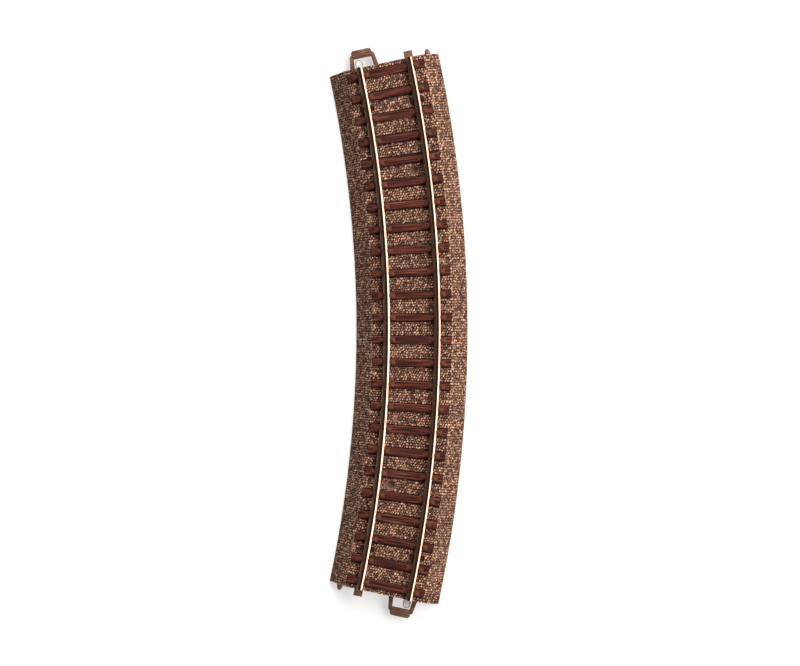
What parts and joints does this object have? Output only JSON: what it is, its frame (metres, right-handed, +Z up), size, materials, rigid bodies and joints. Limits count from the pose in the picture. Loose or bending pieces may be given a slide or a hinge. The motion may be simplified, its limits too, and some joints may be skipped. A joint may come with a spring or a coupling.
{
  "type": "model track section",
  "caption": "Curved two-rail H0 model track section: metal rails on sleepers and a hollow moulded ballast roadbed, with a snap loop, tab and pin at each end.",
  "frame": {"origin": "on the base plane, under the middle of the track centreline, on the underside of the middle cross rib", "axes": "+X away from the centre of the curve, +Y along the track at the middle, +Z up"},
  "size_m": [0.0482, 0.1985, 0.0103],
  "materials": {
    "ballast": "brown plastic with a fine ballast stone relief, the stone tops lighter",
    "sleeper": "dark red-brown plastic with a lengthwise wood grain",
    "joint_plastic": "smooth brown plastic",
    "rail_metal": "bright drawn nickel silver",
    "contact_metal": "bright stamped spring strip"
  },
  "bodies": {
    "track_bed": {"roadbed": "ballast", "rail_inner": "rail_metal", "rail_outer": "rail_metal", "sleeper_01": "sleeper", "sleeper_02": "sleeper", "sleeper_03": "sleeper", "sleeper_04": "sleeper", "sleeper_05": "sleeper", "sleeper_06": "sleeper", "sleeper_07": "sleeper", "sleeper_08": "sleeper", "sleeper_09": "sleeper", "sleeper_10": "sleeper", "sleeper_11": "sleeper", "sleeper_12": "sleeper", "sleeper_13": "sleeper", "sleeper_14": "sleeper", "sleeper_15": "sleeper", "sleeper_16": "sleeper", "sleeper_17": "sleeper", "sleeper_18": "sleeper", "sleeper_19": "sleeper", "sleeper_20": "sleeper", "sleeper_21": "sleeper", "sleeper_22": "sleeper", "sleeper_23": "sleeper", "sleeper_24": "sleeper", "joint_tab_a": "joint_plastic", "alignment_pin_a": "joint_plastic", "contact_tongue_a": "contact_metal", "contact_spring_a": "contact_metal", "joint_tab_b": "joint_plastic", "alignment_pin_b": "joint_plastic", "contact_tongue_b": "contact_metal", "contact_spring_b": "contact_metal"},
    "loop_a": {"snap_loop_a": "joint_plastic"},
    "loop_b": {"snap_loop_b": "joint_plastic"}
  },
  "joints": [
    {"name": "snap_loop_a_flex", "type": "hinge", "parent": "track_bed", "child": "loop_a", "pos_m": [-0.01555, 0.08626, 0.0022], "axis": [0.9776, 0.2103, 0], "range_deg": [-3.5, 3.5], "stiffness_Nm_per_rad": 0.8},
    {"name": "snap_loop_b_flex", "type": "hinge", "parent": "track_bed", "child": "loop_b", "pos_m": [-0.00216, -0.08915, 0.0022], "axis": [-0.9776, 0.2103, 0], "range_deg": [-3.5, 3.5], "stiffness_Nm_per_rad": 0.8}
  ]
}
